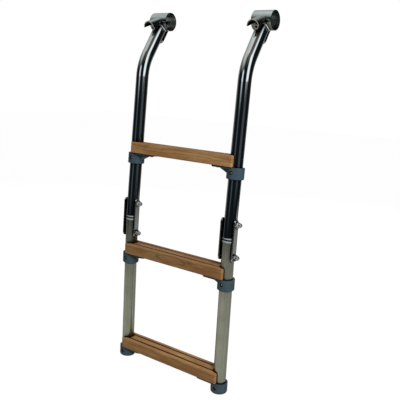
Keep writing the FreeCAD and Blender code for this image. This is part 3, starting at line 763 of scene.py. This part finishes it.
class LADDER_OT_tubes(LadderOperator, bpy.types.Operator):
    """Finish the mirror-polished upper tubes and the satin lower tubes"""
    bl_idname = "ladder.tubes"
    bl_label = "Tubes"

    def execute(self, context):
        steel = context.scene.ladder_steel
        groups = shared_groups()
        mirror = steel_material("mirror_tube", steel.mirror, steel.mirror_roughness, groups,
                                lines=0.25, clouds=0.3, relief=0.002 * MM)
        satin = steel_material("polished_tube", steel.satin, steel.satin_roughness, groups,
                               lines=1.0, clouds=0.5, relief=0.0015 * MM)
        dress(both("upper_rail"), mirror)
        dress(both("lower_rail"), satin)
        return {"FINISHED"}


class LADDER_OT_brackets(LadderOperator, bpy.types.Operator):
    """Finish the collar brackets, foot caps and end plugs"""
    bl_idname = "ladder.brackets"
    bl_label = "Brackets and plugs"

    def execute(self, context):
        plastic = context.scene.ladder_plastic
        groups = shared_groups()
        grey = plastic_material("grey_plastic", plastic.bracket, plastic.roughness, groups)
        # On the plugs the painted shade reaches further out of the gap between them
        pale = plastic_material("pale_plastic", plastic.plug, plastic.roughness - 0.1, groups,
                                open_light=0.99)
        for stem in ("top_bracket", "middle_bracket", "foot_bracket"):
            dress(both(stem), grey)
        for stem in ("upper_plug", "lower_plug"):
            dress(both(stem), pale)
        return {"FINISHED"}


def web_edges(form, down, shortest):
    """The long edges of the webs' sloping undersides."""
    def slopes_down(face):
        return face.normal.dot(down) > 0.5

    def upright(face):
        return abs(face.normal.dot(down)) < 0.01

    return [edge for edge in form.edges
            if all(slopes_down(face) or upright(face) for face in edge.link_faces)
            and any(slopes_down(face) for face in edge.link_faces)
            and edge.calc_length() > shortest]


def web_mesh(section, sizes):
    """One web beside each bracket of a section: its flank, drawn out to its thickness."""
    top = sizes.tongue - SUNK_IN_TONGUE
    profile = ((sizes.start, top), (sizes.start, sizes.depth), (sizes.reach, sizes.tongue),
               (sizes.reach, top))
    form = bmesh.new()
    for underside in section.undersides:
        for side in SIDES:
            flank = [form.verts.new(section.point(side * (TUBE_X - out), -sizes.thickness / 2,
                                                  underside - down)) for out, down in profile]
            drawn = bmesh.ops.extrude_face_region(form, geom=[form.faces.new(flank)])["geom"]
            corners = [part for part in drawn if isinstance(part, bmesh.types.BMVert)]
            bmesh.ops.translate(form, vec=section.way(0, sizes.thickness, 0), verts=corners)
    bmesh.ops.recalc_face_normals(form, faces=form.faces)
    edges = web_edges(form, section.way(0, 0, -1), 1.5 * sizes.thickness)
    bmesh.ops.bevel(form, geom=edges, offset=sizes.rounding, segments=3, profile=0.5, affect="EDGES")
    mesh = bpy.data.meshes.new("bracket_webs_" + section.body)
    form.to_mesh(mesh)
    form.free()
    return mesh


class LADDER_OT_webs(LadderOperator, bpy.types.Operator):
    """Set the deep webs that join the collars to the tongues"""
    bl_idname = "ladder.webs"
    bl_label = "Bracket webs"

    def execute(self, context):
        finish = bpy.data.materials.get("grey_plastic")
        if finish is None:
            raise RuntimeError("the brackets come before the webs, because they share a finish")
        for section in sections():
            mesh = web_mesh(section, context.scene.ladder_webs)
            mesh.materials.append(finish)
            webs = put_in_scene(mesh.name, mesh)
            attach(webs, section.body)
        return {"FINISHED"}


class LADDER_OT_hinges(LadderOperator, bpy.types.Operator):
    """Finish the link plates, hinge bolts and dome nuts"""
    bl_idname = "ladder.hinges"
    bl_label = "Hinges"

    def execute(self, context):
        steel = context.scene.ladder_steel
        groups = shared_groups()
        plate = steel_material("link_steel", steel.plate, steel.plate_roughness, groups,
                               lines=0.5, clouds=0.4, relief=0.004 * MM)
        bright = steel_material("bright_fastener", steel.bright, steel.bright_roughness, groups,
                                lines=0.1, clouds=0.15, relief=0.001 * MM)
        plates = [side + "_link_" + face for side in ("left", "right") for face in ("inner", "outer")]
        dress(plates, plate)
        for stem in ("upper_bolt", "upper_nut", "lower_bolt", "lower_nut"):
            dress(both(stem), bright)
        return {"FINISHED"}


class LADDER_OT_hooks(LadderOperator, bpy.types.Operator):
    """Finish the sleeves, guides, bosses and straps on top of the arms"""
    bl_idname = "ladder.hooks"
    bl_label = "Hooks"

    def execute(self, context):
        steel = context.scene.ladder_steel
        # The strong rub paints a glint along the rims of the sleeves and guides, beside their wear
        finish = steel_material("hook_steel", steel.hook, steel.hook_roughness, shared_groups(),
                                lines=0.35, clouds=0.5, relief=0.002 * MM, rub_and_glint=0.9)
        for stem in ("hook_sleeve", "hook_guide", "hook_boss", "hook_strap"):
            dress(both(stem), finish)
        return {"FINISHED"}


def seam(side, lean):
    """The line where an arm meets its sleeve, a tube across a wider tube."""
    down = Vector((0.0, -math.sin(lean), -math.cos(lean)))
    out = Vector((0.0, -math.cos(lean), math.sin(lean)))
    centre = middle("hook_sleeve_" + side)
    sleeve = half_size("hook_sleeve_" + side).z
    arm = half_size("upper_rail_" + side).x
    points = []
    for at in range(BEAD_POINTS):
        turn = math.tau * at / BEAD_POINTS
        away = arm * math.sin(turn)
        fall = math.sqrt(sleeve ** 2 - away ** 2)
        points.append(centre + fall * down + away * out + Vector((arm * math.cos(turn), 0.0, 0.0)))
    return points


class LADDER_OT_welds(LadderOperator, bpy.types.Operator):
    """Lay the weld beads between the arms and the sleeves"""
    bl_idname = "ladder.welds"
    bl_label = "Weld beads"

    def execute(self, context):
        sizes = context.scene.ladder_welds
        # Painted highlight: a near-white, almost unmetallic bead that lights up like a glint
        finish = steel_material("weld_glint_white", sizes.colour, sizes.roughness, shared_groups(), lines=0.1,
                                clouds=0.4, relief=0.004 * MM, metallic=0.1)
        rings = [seam(side, sizes.bend + UPPER_LEAN) for side in ("left", "right")]
        beads = grow(rings_object("weld_beads", rings), weld_tree(), {
            "Radius": sizes.radius, "Ripple": sizes.ripple, "Ripples": sizes.ripples,
            "Material": finish})
        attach(beads, "upper_section")
        return {"FINISHED"}


class LADDER_OT_screws(LadderOperator, bpy.types.Operator):
    """Set the clamp screws in the collars and the wood screws under the tongues"""
    bl_idname = "ladder.screws"
    bl_label = "Screws"

    def execute(self, context):
        sizes = context.scene.ladder_fasteners
        tree = screw_tree()
        steel = context.scene.ladder_steel
        # Partly a plated finish, partly painted highlight: pale and mostly unmetallic, so the heads glint
        # under the even room light
        finish = steel_material("plated_screw_glint", steel.screw, steel.screw_roughness, shared_groups(),
                                lines=0.2, clouds=0.3, relief=0.002 * MM, metallic=0.3)
        for section in sections():
            clamp, wood = [], []
            for underside in section.undersides:
                for side in SIDES:
                    tube = side * TUBE_X
                    spot = section.point(tube, -sizes.clamp_seat, underside - sizes.clamp_drop)
                    clamp.append((spot, section.way(0, -1, 0)))
                    spot = section.point(tube - side * sizes.wood_reach, 0, underside - sizes.wood_seat)
                    wood.append((spot, section.way(0, 0, -1)))
            for kind, places, head, height, socket in (
                    ("clamp_screws", clamp, sizes.clamp_head, sizes.clamp_height, sizes.clamp_socket),
                    ("wood_screws", wood, sizes.wood_head, sizes.wood_height, sizes.wood_socket)):
                screws = grow(points_object(kind + "_" + section.body, places), tree, {
                    "Head Diameter": head, "Head Height": height, "Socket Width": socket,
                    "Seed": sizes.seed, "Material": finish})
                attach(screws, section.body)
        return {"FINISHED"}


# Stage

# What polished metal mirrors, in degrees: azimuth, half width, soft side, lowest, soft foot,
# highest, soft top; then its radiance. A later row lies over an earlier one.
REFLECTIONS = (
    ("lit floor", 0, 181, 1, -91, 1, -16.5, 4.5, (0.42, 0.415, 0.355)),
    ("backdrop", 131, 50, 16, -91, 1, 70, 20, (0.28, 0.27, 0.24)),
    ("bright corner", 50, 14, 6, -91, 1, -11.5, 1.2, (0.28, 0.285, 0.28)),
    ("front window sill", -100, 10, 6, -6.5, 3.0, 27, 4, (0.065, 0.085, 0.095)),
    ("side window sill", -17, 18, 6, -6.5, 3.0, 50, 8, (0.060, 0.066, 0.074)),
    ("front window", -100, 10, 6, 5.8, 2.8, 27, 4, (0.92, 1.02, 1.10)),
    ("side window", -17, 18, 6, 5.4, 3.0, 50, 8, (1.05, 1.15, 1.20)),
    ("ceiling", -178, 62, 30, 30, 14, 91, 1, (0.56, 0.61, 0.61)),
    ("lamp", -178, 80, 20, 60, 8, 91, 1, (0.92, 0.98, 1.02)),
    ("brown wall", -58, 20, 14, 42, 14, 80, 12, (0.15, 0.105, 0.065)),
    ("overhead", 0, 181, 1, 76, 9, 91, 1, (0.80, 0.85, 0.88)),
)


DARK_ROOM = (0.006, 0.008, 0.010)
FLOOR_DROP = 0.3 * MM
FLOOR_GRAIN = (0.004, 0.004, 0.004)
LIGHT_TARGET = (0.0, -0.05, -0.35)
SENSOR_WIDTH_MM = 36.0


def soft_box_group():
    """Mask of a soft-edged window of the sky, by azimuth and elevation in degrees."""
    names = ("Azimuth", "Half Width", "Soft Side", "Lowest", "Soft Foot", "Highest", "Soft Top")
    graph, given, result = shader_group(
        "soft_box", [("Direction", "Vector", None)] + [(name, "Float", 0.0) for name in names],
        [("Mask", "Float")])
    parts = graph.node("ShaderNodeSeparateXYZ", {0: given["Direction"]}).outputs
    elevation = graph.math("DEGREES", graph.math("ARCSINE", parts["Z"]))
    level = graph.vector("NORMALIZE", graph.vector("MULTIPLY", given["Direction"], (1.0, 1.0, 0.0)))
    azimuth = graph.math("RADIANS", given["Azimuth"])
    centre = graph.node("ShaderNodeCombineXYZ", {
        "X": graph.math("COSINE", azimuth), "Y": graph.math("SINE", azimuth)}).outputs[0]
    aside = graph.math("DEGREES", graph.math("ARCCOSINE", graph.vector("DOT_PRODUCT", level, centre)))

    def fade(value, edge, soft, rising):
        low = graph.math("SUBTRACT", edge, soft)
        high = graph.math("ADD", edge, soft)
        ends = (0.0, 1.0) if rising else (1.0, 0.0)
        return graph.step(value, low, high, *ends)

    sides = fade(aside, given["Half Width"], given["Soft Side"], False)
    foot = fade(elevation, given["Lowest"], given["Soft Foot"], True)
    top = fade(elevation, given["Highest"], given["Soft Top"], False)
    graph.feed(result["Mask"], graph.math("MULTIPLY", sides, graph.math("MULTIPLY", foot, top)))
    return graph.tree


def studio_world(stage):
    """A white room, with dark corners and soft windows where polished metal mirrors it."""
    world = bpy.data.worlds.new("studio")
    world.use_nodes = True
    world.node_tree.nodes.clear()
    graph = Graph(world.node_tree)
    way = graph.node("ShaderNodeTexCoord").outputs["Generated"]
    window = soft_box_group()
    mirrored = DARK_ROOM
    for _, azimuth, width, side, low, foot, high, top, light in REFLECTIONS:
        mask = graph.group(window, {
            "Direction": way, "Azimuth": azimuth, "Half Width": width, "Soft Side": side,
            "Lowest": low, "Soft Foot": foot, "Highest": high, "Soft Top": top})["Mask"]
        mirrored = graph.mix(mask, mirrored, light)
    rays = graph.node("ShaderNodeLightPath").outputs
    height = graph.node("ShaderNodeSeparateXYZ", {0: way}).outputs["Z"]
    room = graph.mix(graph.step(height, -0.15, 0.55), (stage.below,) * 3, (stage.above,) * 3)
    seen = graph.mix(rays["Is Camera Ray"], room, WHITE)
    light = graph.mix(rays["Is Glossy Ray"], seen, mirrored)
    background = graph.node("ShaderNodeBackground", {"Color": light})
    graph.node("ShaderNodeOutputWorld", {"Surface": background.outputs[0]})
    world.cycles.sampling_method = "NONE"
    bpy.context.scene.world = world


def studio_floor(stage):
    """A white floor that glows evenly, so that it shows no edge and casts no tint."""
    half = stage.floor_size / 2
    level = CAD_BOX[0].z - FLOOR_DROP
    mesh = bpy.data.meshes.new("floor")
    mesh.from_pydata([(x * half, y * half, level) for x, y in ((-1, -1), (1, -1), (1, 1), (-1, 1))],
                     [], [(0, 1, 2, 3)])
    floor = put_in_scene("floor", mesh)
    material, graph, shader, place = new_material("pale_floor")
    grain = graph.noise(graph.stretch(place, *FLOOR_GRAIN), 2.0)
    tone = graph.mix(graph.step(grain, 0.3, 0.7, 0.0, 0.1), stage.floor, BLACK)
    graph.feed(shader.inputs["Base Color"], tone)
    for name, value in (("Roughness", 0.9), ("Specular IOR Level", 0.0), ("Emission Color", WHITE),
                        ("Emission Strength", stage.floor_glow)):
        graph.feed(shader.inputs[name], value)
    mesh.materials.append(material)
    floor.visible_glossy = False
    floor.visible_diffuse = False


def soft_light(name, place, side, power):
    """A square soft box that lights the ladder and isn't mirrored in it."""
    data = bpy.data.lights.new(name, "AREA")
    data.size = side
    data.energy = power
    lamp = put_in_scene(name, data)
    lamp.location = place
    lamp.rotation_mode = "QUATERNION"
    lamp.rotation_quaternion = (Vector(LIGHT_TARGET) - Vector(place)).to_track_quat("-Z", "Y")
    lamp.visible_glossy = False


def studio_camera(stage):
    """A camera at the photograph's angle."""
    data = bpy.data.cameras.new("camera")
    data.lens = stage.lens
    data.sensor_width = SENSOR_WIDTH_MM
    data.clip_start, data.clip_end = 0.01, 50.0
    camera = put_in_scene("camera", data)
    place = Vector(stage.camera_place)
    forward = (Vector(stage.camera_target) - place).normalized()
    right = forward.cross(Vector((0, 0, 1))).normalized()
    up = right.cross(forward)
    rolled_right = math.cos(stage.camera_roll) * right + math.sin(stage.camera_roll) * up
    rolled_up = -math.sin(stage.camera_roll) * right + math.cos(stage.camera_roll) * up
    turn = Matrix((rolled_right, rolled_up, -forward)).transposed()
    camera.matrix_world = Matrix.Translation(place) @ turn.to_4x4()
    bpy.context.scene.camera = camera


class LADDER_OT_stage(LadderOperator, bpy.types.Operator):
    """Set up the floor, the light and the camera"""
    bl_idname = "ladder.stage"
    bl_label = "Stage"

    def execute(self, context):
        stage = context.scene.ladder_stage
        context.scene.view_settings.view_transform = "Standard"
        studio_world(stage)
        studio_floor(stage)
        studio_camera(stage)
        soft_light("key_box", (1.30, -0.95, 0.42), 0.8, stage.key_power)
        soft_light("back_box", (-1.0, 1.5, 0.1), 1.2, stage.back_power)
        return {"FINISHED"}


class LADDER_PT_pieces(bpy.types.Panel):
    """Sizes and finishes of the ladder, and a button for each group of pieces"""
    bl_idname = "LADDER_PT_pieces"
    bl_label = "Swim ladder"
    bl_space_type = "VIEW_3D"
    bl_region_type = "UI"
    bl_category = "Swim ladder"

    def draw(self, context):
        for title, name in GROUPS:
            box = self.layout.box()
            box.label(text=title)
            values = getattr(context.scene, name)
            for key in values.bl_rna.properties.keys():
                if key not in ("rna_type", "name"):
                    box.prop(values, key)
        for operator in OPERATORS:
            self.layout.operator(operator.bl_idname)


GROUPS = (("Wood", "ladder_wood"), ("Steel", "ladder_steel"), ("Plastic", "ladder_plastic"),
          ("Fasteners", "ladder_fasteners"), ("Webs", "ladder_webs"), ("Welds", "ladder_welds"),
          ("Stage", "ladder_stage"))
GROUP_CLASSES = (LadderWood, LadderSteel, LadderPlastic, LadderFasteners, LadderWebs, LadderWelds,
                 LadderStage)
OPERATORS = (LADDER_OT_stage, LADDER_OT_steps, LADDER_OT_tubes, LADDER_OT_brackets,
             LADDER_OT_webs, LADDER_OT_hinges, LADDER_OT_hooks, LADDER_OT_welds,
             LADDER_OT_screws)


def register():
    for cls in (*GROUP_CLASSES, *OPERATORS, LADDER_PT_pieces):
        bpy.utils.register_class(cls)
    for (_, name), cls in zip(GROUPS, GROUP_CLASSES):
        setattr(bpy.types.Scene, name, PointerProperty(type=cls))


def unregister():
    for _, name in GROUPS:
        delattr(bpy.types.Scene, name)
    for cls in reversed((*GROUP_CLASSES, *OPERATORS, LADDER_PT_pieces)):
        bpy.utils.unregister_class(cls)


def main():
    register()
    for operator in OPERATORS:
        family, name = operator.bl_idname.split(".")
        getattr(getattr(bpy.ops, family), name)()


if __name__ == "__main__":
    main()
